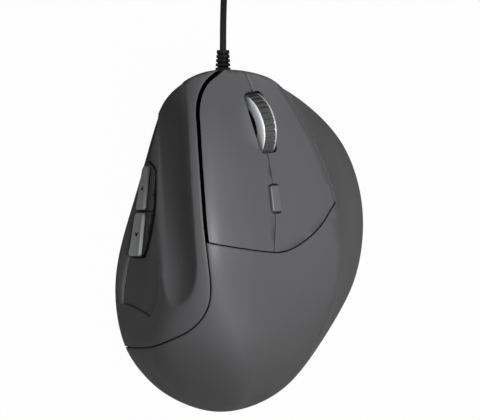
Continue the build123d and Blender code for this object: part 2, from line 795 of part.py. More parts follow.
# Key switches: a housing on the board and the plunger that the key's post rests on
key_switches = []
for name, spot in (("left", left_switch_spot), ("right", right_switch_spot)):
    with BuildPart() as key_switch:
        with BuildSketch(deck_plane(*spot, board_top)):
            Rectangle(switch_width, switch_length)
        extrude(amount=switch_height)
        with BuildSketch(deck_plane(spot[0], spot[1] + plunger_offset, switch_top)):
            Rectangle(plunger_width + 2 * plunger_play, plunger_length + 2 * plunger_play)
        extrude(amount=-plunger_depth - plunger_room, mode=Mode.SUBTRACT)
    key_switch.part.label = name + "_switch"
    key_switches.append(key_switch.part)
    with BuildPart() as key_plunger:
        with BuildSketch(deck_plane(spot[0], spot[1] + plunger_offset, plunger_top)):
            Rectangle(plunger_width, plunger_length)
        extrude(amount=-plunger_proud - plunger_depth)
    key_plunger.part.label = name + "_plunger"
    key_switches.append(key_plunger.part)

# Tactile switches under the wheel's carrier and under the speed button
tact_planes = {
    "wheel": (in_wheel_frame(0, wheel_tact_ahead, 0), deck_normal, board_top, dpi_plunger_height),
    "dpi": (deck_plane(*dpi_spot, 0), deck_normal, board_top, dpi_plunger_height),
}
for name, switch_y in (("forward", forward_switch_y), ("back", back_switch_y)):
    face = Plane(origin=(side_board_face, switch_y, side_switch_z), x_dir=(0, 1, 0), z_dir=(-1, 0, 0))
    tact_planes[name] = (face, face.z_dir, 0.0, tact_height + side_plunger_proud)
tacts = []
for name, (face, outward, start, reach) in tact_planes.items():
    with BuildPart() as tact:
        with BuildSketch(face.offset(start)):
            Rectangle(tact_side, tact_side)
        extrude(amount=tact_height)
        with BuildSketch(face.offset(start + tact_height)):
            Circle(tact_plunger_radius + plunger_play)
        extrude(amount=-plunger_depth - plunger_room, mode=Mode.SUBTRACT)
    tact.part.label = name + "_tact"
    tacts.append(tact.part)
    with BuildPart() as tact_plunger:
        with BuildSketch(face.offset(start + tact_height - plunger_depth)):
            Circle(tact_plunger_radius)
        extrude(amount=reach - tact_height + plunger_depth)
    tact_plunger.part.label = name + "_tact_plunger"
    tacts.append(tact_plunger.part)

# Button for the pointer speed: a cap with a flange under the keys and a stem to its switch
with BuildPart() as dpi_button:
    with BuildSketch(deck_plane(*dpi_spot, dpi_surface - dpi_skirt, dpi_turn)):
        RectangleRounded(dpi_width, dpi_length, dpi_corner)
    extrude(amount=dpi_skirt + dpi_proud)
    fillet(dpi_button.faces().sort_by(Axis(deck_origin, deck_normal))[-1].edges(), dpi_edge)
    with BuildSketch(deck_plane(*dpi_spot, dpi_surface - dpi_skirt - dpi_flange, dpi_turn)):
        RectangleRounded(dpi_width + 2 * dpi_lip, dpi_length + 2 * dpi_lip, dpi_corner)
    extrude(amount=dpi_flange)
    with BuildSketch(deck_plane(*dpi_spot, tact_plunger_top)):
        Circle(dpi_stem_radius)
    extrude(amount=dpi_surface - dpi_skirt - tact_plunger_top)
dpi_button.part.label = "dpi_button"

# Scroll wheel on its axle: hub, ribbed tyre and two bright rims
tyre_half = wheel_width / 2 - rim_width

with BuildPart() as wheel_tyre:
    with BuildSketch(wheel_side(-tyre_half)):
        Circle(wheel_radius)
        with PolarLocations(wheel_radius, rib_count):
            Rectangle(2 * rib_depth, rib_space, mode=Mode.SUBTRACT)
        Circle(wheel_radius - tyre_thickness, mode=Mode.SUBTRACT)
    extrude(amount=2 * tyre_half)
wheel_tyre.part.label = "wheel_tyre"

rim_outer = wheel_radius - rim_inset
rim_inner = rim_outer - rim_radial
with BuildPart() as wheel_hub:
    with BuildSketch(wheel_side(-tyre_half)):
        Circle(wheel_radius - tyre_thickness)
    extrude(amount=2 * tyre_half)
    with BuildSketch(wheel_side(-tyre_half - rim_width / 2)):
        Circle(rim_inner)
    extrude(amount=2 * tyre_half + rim_width)
    with BuildSketch(wheel_side(-wheel_width)):
        Circle(axle_radius)
    extrude(amount=2 * wheel_width, mode=Mode.SUBTRACT)
wheel_hub.part.label = "wheel_hub"

rims = []
for name, start in (("left", -wheel_width / 2), ("right", tyre_half)):
    with BuildPart() as rim:
        with BuildSketch(wheel_side(start)):
            Circle(rim_outer)
            Circle(rim_inner, mode=Mode.SUBTRACT)
        extrude(amount=rim_width)
    rim.part.label = "wheel_rim_" + name
    rims.append(rim.part)

with BuildPart() as wheel_axle:
    with BuildSketch(wheel_side(-carrier_half - encoder_size[2] + axle_end_gap)):
        Circle(axle_radius)
    extrude(amount=2 * carrier_half + encoder_size[2])
wheel_axle.part.label = "wheel_axle"

# Carrier: a fork that holds the axle, sliding down on the switch under its rear block
block_low = tact_plunger_top - wheel_w
arm_outline = [
    (carrier_front, -arm_half),
    (carrier_front, arm_half),
    (arm_bend, carrier_top),
    (carrier_rear, carrier_top),
    (carrier_rear, block_low),
    (block_front, block_low),
    (block_front, -arm_half),
]
with BuildPart() as wheel_carrier:
    for across in (-carrier_half, carrier_half - carrier_arm):
        with BuildSketch(wheel_side(across)):
            with BuildLine():
                Polyline(*arm_outline, close=True)
            make_face()
            Circle(axle_radius + running_gap, mode=Mode.SUBTRACT)
        extrude(amount=carrier_arm)
    with BuildSketch(in_wheel_frame(0, carrier_rear, tact_plunger_top)):
        Rectangle(2 * carrier_half, block_front - carrier_rear, align=(Align.CENTER, Align.MIN))
    extrude(amount=block_height)
wheel_carrier.part.label = "wheel_carrier"

with BuildPart() as rotary_encoder:
    with BuildSketch(wheel_side(-carrier_half - encoder_size[2])):
        Rectangle(encoder_size[0], encoder_size[1])
        Circle(axle_radius + running_gap, mode=Mode.SUBTRACT)
    extrude(amount=encoder_size[2])
rotary_encoder.part.label = "rotary_encoder"

# Base plate with bosses for the main board, slots for the side board, screw holes and sensor opening
screw_spots = plan(left_post_spots) + plan(palm_post_spots) + leg_screw_spots
side_board_low = side_board_y - side_board_length / 2
side_board_high = side_board_y + side_board_length / 2
main_board_z = floor_top + main_board_lift
with BuildPart() as base_plate:
    add(outer_form)
    add(levelled(-far, floor_top), mode=Mode.INTERSECT)
    with BuildSketch(Plane.XY.offset(foot_height)):
        with Locations(sensor_spot):
            RectangleRounded(sensor_hole_width, sensor_hole_length, sensor_hole_corner)
        with Locations(*screw_spots):
            Circle(screw_radius + screw_play)
    extrude(amount=floor_thickness, mode=Mode.SUBTRACT)
    with BuildSketch(Plane.XY.offset(foot_height)):
        with Locations(*screw_spots):
            Circle(screw_head_radius + screw_play)
    extrude(amount=screw_head_height, mode=Mode.SUBTRACT)
    with BuildSketch(Plane.XY.offset(floor_top)):
        with Locations(*board_screw_spots):
            Circle(boss_radius)
    extrude(amount=main_board_lift)
    with BuildSketch(Plane.XY.offset(floor_top)):
        with Locations(*board_screw_spots):
            Circle(peg_radius)
    extrude(amount=main_board_lift + board_thickness + peg_proud)
    with BuildSketch(Plane.XY.offset(floor_top)):
        with Locations(
            (side_board_face + board_thickness / 2, side_board_low),
            (side_board_face + board_thickness / 2, side_board_high),
        ):
            Rectangle(slot_rib_width, slot_rib_length)
        with Locations((side_board_face + board_thickness / 2, side_board_y)):
            Rectangle(board_thickness, side_board_length, mode=Mode.SUBTRACT)
    extrude(amount=slot_rib_height)
base_plate.part.label = "base_plate"

feet = []
for name, x, y, width, length, turn in foot_spots:
    with BuildPart() as foot:
        with BuildSketch(Plane.XY):
            with Locations(Location((x * scale_x, y * scale_y), turn)):
                RectangleRounded(width, length, min(width, length) / 2 - foot_corner_rest)
        extrude(amount=foot_height)
    foot.part.label = name
    feet.append(foot.part)

screws = []
for i, (x, y) in enumerate(screw_spots):
    with BuildPart() as screw:
        with BuildSketch(Plane.XY.offset(foot_height)):
            with Locations((x, y)):
                Circle(screw_head_radius)
                RegularPolygon(screw_drive_radius, 6, mode=Mode.SUBTRACT)
        extrude(amount=screw_head_height)
        with BuildSketch(Plane.XY.offset(foot_height + screw_drive_depth)):
            with Locations((x, y)):
                Circle(screw_radius)
        extrude(amount=screw_length)
    screw.part.label = "screw_" + str(i + 1)
    screws.append(screw.part)

# Main board with its sensor, lens, lamp and cord socket
with BuildPart() as main_board:
    with BuildSketch(Plane.XY.offset(main_board_z)):
        with Locations(main_board_spot):
            RectangleRounded(main_board_width, main_board_length, plate_corner)
        with Locations(sensor_spot):
            Circle(lens_radius + lens_play, mode=Mode.SUBTRACT)
        with Locations(*board_screw_spots):
            Circle(peg_radius, mode=Mode.SUBTRACT)
    extrude(amount=board_thickness)
main_board.part.label = "main_board"

board_face = main_board_z + board_thickness
with BuildPart() as sensor_lens:
    with BuildSketch(Plane.XY.offset(floor_top)):
        with Locations(sensor_spot):
            RectangleRounded(lens_plate_width, lens_plate_length, sensor_hole_corner)
    extrude(amount=lens_plate_height)
    with BuildSketch(Plane.XY.offset(floor_top)):
        with Locations(sensor_spot):
            Circle(lens_radius)
    extrude(amount=board_face - floor_top)
sensor_lens.part.label = "sensor_lens"

with BuildPart() as sensor_chip:
    with BuildSketch(Plane.XY.offset(board_face)):
        with Locations(sensor_spot):
            Rectangle(chip_width, chip_length)
    extrude(amount=chip_height)
sensor_chip.part.label = "sensor_chip"

with BuildPart() as sensor_lamp:
    lamp_plane = Plane(
        origin=(sensor_spot[0], sensor_spot[1] + chip_length / 2, board_face + lamp_radius),
        x_dir=(1, 0, 0),
        z_dir=(0, 1, 0),
    )
    with BuildSketch(lamp_plane):
        Circle(lamp_radius)
    extrude(amount=lamp_length)
sensor_lamp.part.label = "sensor_lamp"

with BuildPart() as cord_socket:
    with BuildSketch(Plane.XY.offset(board_face)):
        with Locations((cord_x, socket_y)):
            Rectangle(socket_width, socket_length)
    extrude(amount=socket_height)
cord_socket.part.label = "cord_socket"

with BuildPart() as side_board:
    with BuildSketch(Plane.XY.offset(floor_top)):
        with Locations((side_board_face + board_thickness / 2, side_board_y)):
            Rectangle(board_thickness, side_board_length)
    extrude(amount=side_board_height)
side_board.part.label = "side_board"

# Strain relief: inner flange, neck through the wall and a tapering ribbed boot
boot_end = neck_y + relief_length
rib_pitch = relief_length / relief_ribs
with BuildPart() as strain_relief:
    with BuildSketch(Plane(origin=(cord_x, 0, cord_height), x_dir=(1, 0, 0), z_dir=(0, 0, 1))):
        with BuildLine():
            inner_end = neck_y - wall - relief_flange_gap
            Polyline(
                (cord_diameter / 2, inner_end - relief_flange),
                (relief_flange_radius, inner_end - relief_flange),
                (relief_flange_radius, inner_end),
                (relief_base_radius, inner_end),
                (relief_base_radius, neck_y + rib_groove),
                (relief_front_radius, boot_end),
                (cord_diameter / 2, boot_end),
                (cord_diameter / 2, inner_end - relief_flange),
            )
        make_face()
        for i in range(1, relief_ribs):
            with Locations((relief_base_radius, neck_y + i * rib_pitch)):
                Rectangle(2 * rib_groove + relief_base_radius - relief_front_radius, rib_groove, mode=Mode.SUBTRACT)
    revolve(axis=Axis((cord_x, 0, cord_height), (0, 1, 0)))
strain_relief.part.label = "strain_relief"

with BuildPart() as inner_lead:
    with BuildSketch(Plane(origin=(cord_x, boot_end, cord_height), x_dir=(1, 0, 0), z_dir=(0, -1, 0))):
        Circle(cord_diameter / 2)
    extrude(amount=boot_end - socket_y - socket_length / 2)
inner_lead.part.label = "inner_lead"


def corner_radii(points):
    """The largest arc that each corner of a route allows."""
    radii = []
    for before, corner, after in zip(points, points[1:], points[2:]):
        incoming = Vector(*corner) - Vector(*before)
        outgoing = Vector(*after) - Vector(*corner)
        half_turn = math.radians(incoming.get_angle(outgoing)) / 2
        radii.append(arc_share * min(incoming.length, outgoing.length) / math.tan(half_turn))
    return radii


def cord_tube(points):
    """A tube of the cord's width along straight runs joined by arcs, with its length."""
    with BuildPart() as tube:
        with BuildLine() as route:
            FilletPolyline(*points, radius=corner_radii(points))
        heading = Vector(*points[1]) - Vector(*points[0])
        with BuildSketch(Plane(origin=points[0], z_dir=heading)):
            Circle(cord_diameter / 2)
        sweep(path=route.wires()[0])
    return tube.part, route.wires()[0].length


# Free cord from the strain relief to the coil, which lies in front, outside the photograph
coil_pitch = cord_diameter + coil_gap
coil_steps = 2 * coil_turns_per_layer
coil_middle = coil_mid_diameters * cord_diameter / 2
coil_outer = coil_middle + (coil_steps - 1) * coil_pitch / 4
coil_centre = (cord_x + coil_outer, coil_y)
coil_z = tie_rest + tie_thickness + tie_gap + cord_diameter / 2
cable_route = [
    (cord_x, boot_end, cord_height),
    (cord_x, boot_end + 10.4, cord_height),
    (cord_x + 0.5, boot_end + 23.5, 1.4),
    (cord_x + 0.2, boot_end + 34.5, 1.2),
    (cord_x, coil_y - 9.5, coil_z),
    (cord_x, coil_y, coil_z),
]
cable_part, cable_length = cord_tube(cable_route)
cable_part.label = "cable"

# Coil: half turns that spiral in and out, layer on layer
coil_points = []
steps_in = list(range(coil_steps))
for layer in range(coil_layers):
    for step in steps_in if layer % 2 == 0 else reversed(steps_in):
        side_sign = -1 if len(coil_points) % 2 == 0 else 1
        radius = coil_outer - step * coil_pitch / 2
        coil_points.append(Vector(coil_centre[0] + side_sign * radius, coil_y, coil_z + layer * coil_pitch))
tail_x = coil_centre[0] - coil_outer - coil_pitch / 2
tail_z = coil_z + (coil_layers - 1) * coil_pitch
coil_points.append(Vector(tail_x, coil_y, tail_z))

coil_samples = []
with BuildPart() as cable_coil:
    with BuildLine() as coil_route:
        for i, (a, b) in enumerate(zip(coil_points, coil_points[1:])):
            bulge = Vector(0, 1 if i % 2 == 0 else -1, 0) * ((b - a).length / 2)
            middle = (a + b) / 2
            across = (a - b) / 2
            diagonal = math.sqrt(0.5)
            ThreePointArc(a, middle + (across + bulge) * diagonal, middle + bulge)
            ThreePointArc(middle + bulge, middle + (bulge - across) * diagonal, b)
            for k in range(coil_sample_count):
                angle = math.pi * k / coil_sample_count
                coil_samples.append(middle + across * math.cos(angle) + bulge * math.sin(angle))
    with BuildSketch(Plane(origin=coil_points[0], z_dir=(0, 1, 0))):
        Circle(cord_diameter / 2)
    sweep(path=coil_route.wires()[0])
cable_coil.part.label = "cable_coil"
coil_length = coil_route.wires()[0].length

tie_low = tie_rest + tie_thickness
coil_inner = coil_outer - (coil_steps - 1) * coil_pitch / 2
coil_sag = coil_inner - math.sqrt(coil_inner**2 - (tie_width / 2) ** 2)
tie_inner_x = coil_centre[0] + coil_inner - coil_sag - cord_diameter / 2 - tie_gap
tie_inner_width = coil_outer - coil_inner + coil_sag + cord_diameter + 2 * tie_gap
tie_inner_height = (coil_layers - 1) * coil_pitch + cord_diameter + 2 * tie_gap
with BuildPart() as cable_tie:
    tie_plane = Plane(
        origin=(tie_inner_x + tie_inner_width / 2, coil_y + tie_width / 2, tie_low + tie_inner_height / 2),
        x_dir=(1, 0, 0),
        z_dir=(0, -1, 0),
    )
    with BuildSketch(tie_plane):
        RectangleRounded(
            tie_inner_width + 2 * tie_thickness, tie_inner_height + 2 * tie_thickness, cord_diameter / 2
        )
        RectangleRounded(tie_inner_width, tie_inner_height, tie_inner_corner, mode=Mode.SUBTRACT)
    extrude(amount=tie_width)
cable_tie.part.label = "cable_tie"

plug_z = plug_body_height / 2
tail_route = [
    (tail_x, coil_y, tail_z),
    (tail_x, coil_y + 10.0, tail_z),
    (tail_x - 0.3, coil_y + 27.0, 6.5),
    (tail_x + 12.0, coil_y + 34.0, plug_z),
    (tail_x + 25.0, coil_y + 34.0, plug_z),
]
tail_part, tail_length = cord_tube(tail_route)
tail_part.label = "cable_tail"

# Plug: moulded grip, metal shell with two latch windows and its tongue
plug_start, plug_y, _ = tail_route[-1]
with BuildPart() as usb_grip:
    with BuildSketch(Plane.YZ.offset(plug_start)):
        with Locations((plug_y, plug_z)):
            RectangleRounded(plug_body_width, plug_body_height, plug_corner)
    extrude(amount=plug_body_length)
usb_grip.part.label = "usb_grip"

shell_start = plug_start + plug_body_length
with BuildPart() as usb_shell:
    with BuildSketch(Plane.YZ.offset(shell_start)):
        with Locations((plug_y, plug_z)):
            Rectangle(plug_shell_width, plug_shell_height)
            Rectangle(plug_shell_width - 2 * plug_sheet, plug_shell_height - 2 * plug_sheet, mode=Mode.SUBTRACT)
    extrude(amount=plug_shell_length)
    with BuildSketch(Plane.XY.offset(plug_z)):
        with Locations(
            (shell_start + plug_window_x, plug_y - plug_window_y),
            (shell_start + plug_window_x, plug_y + plug_window_y),
        ):
            Rectangle(plug_window, plug_window)
    extrude(amount=plug_shell_height, mode=Mode.SUBTRACT)
usb_shell.part.label = "usb_shell"

with BuildPart() as usb_tongue:
    with BuildSketch(Plane.YZ.offset(shell_start)):
        with Locations((plug_y, plug_z + plug_shell_height / 2 - plug_sheet)):
            Rectangle(
                plug_shell_width - 2 * plug_sheet, tongue_height, align=(Align.CENTER, Align.MAX)
            )
    extrude(amount=plug_shell_length - tongue_setback)
usb_tongue.part.label = "usb_tongue"

pieces = [left_housing.part, palm_cover.part, thumb_panel.part, base_plate.part]
pieces += thumb_buttons + thumb_caps + keys + key_switches + tacts + rims + feet + screws
pieces += [dpi_button.part, wheel_tyre.part, wheel_hub.part, wheel_axle.part, wheel_carrier.part]
pieces += [rotary_encoder.part, chassis.part, hinge_pin.part, button_board.part, side_board.part]
pieces += [main_board.part, sensor_lens.part, sensor_chip.part, sensor_lamp.part, cord_socket.part]
pieces += [strain_relief.part, inner_lead.part, cable_part, cable_coil.part, cable_tie.part, tail_part]
pieces += [usb_grip.part, usb_shell.part, usb_tongue.part]
os.makedirs("parts", exist_ok=True)
for piece in pieces:
    piece.move(Location((0, -middle_y, 0)))
    export_step(piece, "parts/" + piece.label + ".step")

# What the cord's bends and gaps come to
section = math.pi * (cord_diameter / 2) ** 2
for name, part, length in (
    ("cable", cable_part, cable_length),
    ("cable_coil", cable_coil.part, coil_length),
    ("cable_tail", tail_part, tail_length),
):
    print(name, "length", round(length, 1), "volume over section times length", part.volume / (section * length))
print("cable radii", [round(radius, 1) for radius in corner_radii(cable_route)])
print("cable_tail radii", [round(radius, 1) for radius in corner_radii(tail_route)])
least_gap = min(
    (a - b).length - cord_diameter
    for i, a in enumerate(coil_samples)
    for b in coil_samples[i + coil_sample_count :]
)
print("coil least gap to itself", round(least_gap, 2))
print("cord length", round(cable_length + coil_length + tail_length + boot_end - socket_y, 1))
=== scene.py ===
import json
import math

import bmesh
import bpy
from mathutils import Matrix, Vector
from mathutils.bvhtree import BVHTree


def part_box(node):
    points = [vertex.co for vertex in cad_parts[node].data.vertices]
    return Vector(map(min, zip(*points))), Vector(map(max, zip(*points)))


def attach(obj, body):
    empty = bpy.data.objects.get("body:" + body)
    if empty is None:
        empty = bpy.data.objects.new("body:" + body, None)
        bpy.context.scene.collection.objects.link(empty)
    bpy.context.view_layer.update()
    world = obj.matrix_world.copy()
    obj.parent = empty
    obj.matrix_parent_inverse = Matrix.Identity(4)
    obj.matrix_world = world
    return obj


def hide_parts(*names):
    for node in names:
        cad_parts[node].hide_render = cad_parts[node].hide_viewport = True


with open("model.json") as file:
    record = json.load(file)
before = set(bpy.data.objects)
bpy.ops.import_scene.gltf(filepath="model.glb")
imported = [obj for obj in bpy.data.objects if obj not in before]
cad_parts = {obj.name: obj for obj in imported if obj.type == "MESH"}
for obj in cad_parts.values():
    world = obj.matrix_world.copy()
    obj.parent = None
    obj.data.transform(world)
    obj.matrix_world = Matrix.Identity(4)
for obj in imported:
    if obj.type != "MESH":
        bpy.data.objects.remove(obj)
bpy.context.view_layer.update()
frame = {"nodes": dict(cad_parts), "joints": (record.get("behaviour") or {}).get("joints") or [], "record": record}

# %% [markdown]
# # A slanted mouse, dressed for its photograph
# The solids of the mouse come in as a fixed frame, in metres, with +Y to the front, +X to the
# little finger's side and +Z up. Each solid is a node on a body that a joint may move. This lesson
# gives every node its finish, puts smooth skins over the shells, turns the wheel's bright rims,
# draws the cord as one curve and sets the camera straight above.

nodes = frame["nodes"]
print("nodes in the frame:", len(nodes))

# %% [markdown]
# ## The camera
# The photograph looks straight down through a long lens: walls that lean outwards show, and nothing
# else of the sides does. A wide lens close by could frame the same width, but it would bend the
# flanks. So the camera hangs high above, and its focal length follows from the width that the
# picture takes in on the desk.

# %% Camera
camera_height = 1.5
picture_width = 0.1632
picture_centre = (0.00034, 0.00716)


def placed(name, data):
    """A new object in the scene."""
    made = bpy.data.objects.new(name, data)
    bpy.context.scene.collection.objects.link(made)
    return made


lens = bpy.data.cameras.new("overhead")
lens.sensor_width = 36.0
lens.lens = lens.sensor_width * camera_height / picture_width
lens.clip_end = 10.0
camera = placed("overhead", lens)
camera.location = (*picture_centre, camera_height)
bpy.context.scene.camera = camera
bpy.context.scene.view_settings.view_transform = "Standard"
print("focal length:", round(lens.lens, 1), "mm")

# %% [markdown]
# ## Shader sums in plain Python
# A finish is a sum of noises, and written with one call for each Math node such a sum hides what it
# means. So a small class wraps the socket that a value comes from and overloads plus and times.
# 0.7 * patches + 0.3 * speckle then adds three Math nodes and reads as it is meant.

# %% A value that varies over the surface
def feed(tree, target, value):
    """Puts a number, a colour or another node's value into an input."""
    if isinstance(value, Signal):
        tree.links.new(value.socket, target)
    else:
        target.default_value = value


class Signal:
    """The socket of a node, which can be added and multiplied."""

    def __init__(self, tree, socket):
        self.tree = tree
        self.socket = socket

    def math(self, operation, first, second):
        node = self.tree.nodes.new("ShaderNodeMath")
        node.operation = operation
        feed(self.tree, node.inputs[0], first)
        feed(self.tree, node.inputs[1], second)
        return Signal(self.tree, node.outputs[0])

    def __add__(self, other):
        return self.math("ADD", self, other)

    def __radd__(self, other):
        return self.math("ADD", other, self)

    def __mul__(self, other):
        return self.math("MULTIPLY", self, other)

    def __rmul__(self, other):
        return self.math("MULTIPLY", other, self)


print("sockets can be added and multiplied")

# %% [markdown]
# ## One method for every other node
# Materials and worlds are both node trees. The class below empties a tree and adds nodes to it with
# one method, which takes a node's type, its settings and the values of its inputs. That keeps each
# finish to a few lines, where plain calls would need a line for every socket.

# %% Node trees
class NodeTree:
    """The node tree of a material or a world, whose nodes are made one call at a time."""

    def __init__(self, owner, output_kind):
        owner.use_nodes = True
        self.owner = owner
        self.tree = owner.node_tree
        self.tree.nodes.clear()
        self.end = self.tree.nodes.new(output_kind)

    def node(self, kind, settings=None, inputs=None, output=0):
        made = self.tree.nodes.new(kind)
        for key, value in (settings or {}).items():
            setattr(made, key, value)
        for key, value in (inputs or {}).items():
            feed(self.tree, made.inputs[key], value)
        return Signal(self.tree, made.outputs[output])

    def ray(self, kind):
        """1 for rays of one kind and 0 for the rest, such as Is Camera Ray."""
        return self.node("ShaderNodeLightPath", output=kind)

    def shown(self, shader):
        """Puts a shader on the surface and gives back the material or world."""
        self.tree.links.new(shader.socket, self.end.inputs[0])
        return self.owner


print("materials and worlds can be built")

# %% [markdown]
# ## The desk and the room
# The mouse lies on white without a visible horizon. A white floor under strong light would do that
# too, but its bounce would light the flanks, which are dark in the photograph. So the desk is a
# dull grey for light, and a camera ray sees it almost white. A little of that glow, and more of the
# room's, is left for mirrored rays, because bright metal has nothing else to reflect.

# %% Desk
desk_half_width = 1.5
desk_grey = (0.3, 0.3, 0.3, 1)
desk_seen = 0.985
desk_mirrored = 0.1
white = (1, 1, 1, 1)


def mesh_of(shape, name):
    """The mesh of a finished bmesh, which is freed."""
    mesh = bpy.data.meshes.new(name)
    shape.to_mesh(mesh)
    shape.free()
    return mesh


grid = bmesh.new()
bmesh.ops.create_grid(grid, x_segments=1, y_segments=1, size=desk_half_width)
desk = placed("desk", mesh_of(grid, "desk"))
top = NodeTree(bpy.data.materials.new("desk"), "ShaderNodeOutputMaterial")
mirrored = top.ray("Is Glossy Ray") + top.ray("Is Transmission Ray")
share = desk_seen * top.ray("Is Camera Ray") + desk_mirrored * mirrored
matt = top.node("ShaderNodeBsdfDiffuse", inputs={"Color": desk_grey})
glow = top.node("ShaderNodeEmission", inputs={"Color": white, "Strength": 1.0})
both = top.node("ShaderNodeMixShader", inputs={0: share, 1: matt, 2: glow})
desk.data.materials.append(top.shown(both))
print("desk:", 2 * desk_half_width, "m wide")

# %% Room
room_colour = (0.95, 0.97, 1.0, 1)
room_fill = 0.02
room_mirrored = 0.85
room = NodeTree(bpy.data.worlds.new("room"), "ShaderNodeOutputWorld")
mirrored = room.ray("Is Glossy Ray") + room.ray("Is Transmission Ray")
strength = room_fill + room_mirrored * mirrored
dim = room.node("ShaderNodeBackground", inputs={"Color": room_colour, "Strength": strength})
bright = room.node("ShaderNodeBackground", inputs={"Color": white, "Strength": 1.0})
both = room.node("ShaderNodeMixShader", inputs={0: room.ray("Is Camera Ray"), 1: dim, 2: bright})
bpy.context.scene.world = room.shown(both)
print("room:", room_fill, "of fill,", room_mirrored, "in mirrors")

# %% [markdown]
# ## Lamps
# In the photograph the sloping keys are evenly light, and the surfaces that turn away go dark
# quickly. A distant lamp would light both alike, so the main one is a small soft box close above,
# whose light falls off within the length of the mouse. Two weak ones at the sides give the edges a
# glint. The camera sees none of them, because the close one hangs in its way.

# %% Soft boxes
mouse_middle = Vector((0.0, 0.0, 0.03))


def soft_box(name, place, size, power):
    """A square lamp of a size in metres and a power in watts, turned to the mouse."""
    light = bpy.data.lights.new(name, "AREA")
    light.size = size
    light.energy = power
    lamp = placed(name, light)
    lamp.location = place
    lamp.visible_camera = False
    towards = mouse_middle - Vector(place)
    lamp.rotation_euler = towards.to_track_quat("-Z", "Y").to_euler()
    print(name, "hangs", round(towards.length, 2), "m away")


soft_box("softbox_over", (0.085, -0.02, 0.29), size=0.13, power=0.9)
soft_box("softbox_left", (-0.95, 0.05, 0.5), size=0.35, power=0.25)
soft_box("softbox_right", (1.0, 0.0, 0.5), size=0.4, power=0.15)

# %% [markdown]
# ## Patterns that the finishes share
# Noise on Object coordinates has a real size in metres and stays put when a body moves, and it
# needs no unwrapping, which an image would. Mixed with two tones it gives patches, and as a height
# it gives grain. The Bevel node turns the light at an edge as a rounded edge would, where real
# roundings of a fifth of a millimetre on every piece would cost many faces.

# %% Patterns
edge_samples = 8


class Finish(NodeTree):
    """A material with the patterns that this object's finishes share."""

    def __init__(self, name):
        super().__init__(bpy.data.materials.new(name), "ShaderNodeOutputMaterial")

    def place(self):
        return self.node("ShaderNodeTexCoord", output="Object")

    def noise(self, scale, detail=2.0, roughness=0.5):
        inputs = {"Vector": self.place(), "Scale": scale, "Detail": detail, "Roughness": roughness}
        return self.node("ShaderNodeTexNoise", inputs=inputs)

    def tinted(self, dark, light, share):
        """Two colours mixed by a share. Inputs 6 and 7 and output 2 are the Mix node's colours."""
        inputs = {"Factor": share, 6: (*dark, 1), 7: (*light, 1)}
        return self.node("ShaderNodeMix", {"data_type": "RGBA"}, inputs, output=2)

    def bumped(self, height, depth, strength, normal=None):
        inputs = {"Height": height, "Distance": depth, "Strength": strength}
        if normal is not None:
            inputs["Normal"] = normal
        return self.node("ShaderNodeBump", inputs=inputs)

    def eased(self, radius):
        return self.node("ShaderNodeBevel", {"samples": edge_samples}, {"Radius": radius})

    def shade(self, **inputs):
        """The Principled shader, whose inputs are named with _ for each space."""
        named = {key.replace("_", " "): value for key, value in inputs.items()}
        return self.shown(self.node("ShaderNodeBsdfPrincipled", inputs=named))


print("patches, grain and eased edges can be drawn")

# %% [markdown]
# ## Moulded and coated plastic
# Nearly all that shows is moulded plastic, bare or sprayed: dry to look at, with a grain finer than
# a hair and a dull sheen instead of a reflection. A flat colour would look like a drawing, because
# no sprayed surface is perfectly even. So one function makes all of it from a colour, a roughness
# and a grain, and adds patches of slightly different tone and gloss, about two centimetres across.

# %% Coated plastic
patch_scale = 45.0
patch_share = 0.7
speckle_to_grain = 0.4
grain_strength = 0.35
gloss_spread = 0.12


def coated(name, colour, rough, grain=3000.0, depth=0.00001, ease=0.0002, patchiness=0.08, specular=0.5):
    """A matt coat, with the grain's scale per metre, and its depth and the eased edges in metres."""
    finish = Finish(name)
    patches = finish.noise(patch_scale, detail=3.0)
    speckle = finish.noise(grain * speckle_to_grain)
    grains = finish.noise(grain, detail=3.0, roughness=0.6)
    dark = [channel * (1 - patchiness) for channel in colour]
    light = [channel * (1 + patchiness) for channel in colour]
    tone = patch_share * patches + (1 - patch_share) * speckle
    print("coated:", name)
    return finish.shade(
        Base_Color=finish.tinted(dark, light, tone),
        Roughness=(rough - gloss_spread / 2) + gloss_spread * patches,
        Specular_IOR_Level=specular,
        Normal=finish.bumped(grains, depth, grain_strength, finish.eased(ease)),
    )


# %% [markdown]
# ## Plated and plain metal
# The wheel's rims are plated, the screws and pins are plain steel and the plug's shell is bright
# sheet. Handled metal is covered in fine scratches, which spread its reflections. They could be
# drawn one by one, but at this size a fine noise in the gloss and in the bump reads the same.

# %% Metals
scratch_depth = 0.000004
scratch_strength = 0.4
scratch_gloss = 0.08
cloud_scale = 120.0
cloud_shade = 0.92


def metal(name, colour, rough, scratch, ease=0.0002):
    """A metal with fine scratches, their scale per metre, and edges eased by a radius in metres."""
    finish = Finish(name)
    marks = finish.noise(scratch, detail=4.0, roughness=0.7)
    clouds = finish.noise(cloud_scale)
    dark = [channel * cloud_shade for channel in colour]
    print("metal:", name)
    return finish.shade(
        Base_Color=finish.tinted(dark, colour, clouds),
        Roughness=(rough - scratch_gloss / 2) + scratch_gloss * marks,
        Metallic=1.0,
        Normal=finish.bumped(marks, scratch_depth, scratch_strength, finish.eased(ease)),
    )


# %% [markdown]
# ## Dressing nodes and adding pieces
# A node of the frame keeps its mesh and only gets a material. A new piece is linked, rides on a
# body and may take the place of nodes.
# These steps are the same for every piece, so two short functions do them.

# %% Nodes and pieces
dressed = set()


def dress(finish, *names):
    """Gives nodes of the frame a finish."""
    for name in names:
        held = nodes[name]
        if not held.material_slots:
            held.data.materials.append(finish)
        for slot in held.material_slots:
            slot.material = finish
        dressed.add(name)


def add_piece(name, data, body, slot, *stood_for):
    """A new piece on a body, which may stand for nodes."""
    piece = placed(name, data)
    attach(piece, body)
    if stood_for:
        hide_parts(*stood_for)
    return piece


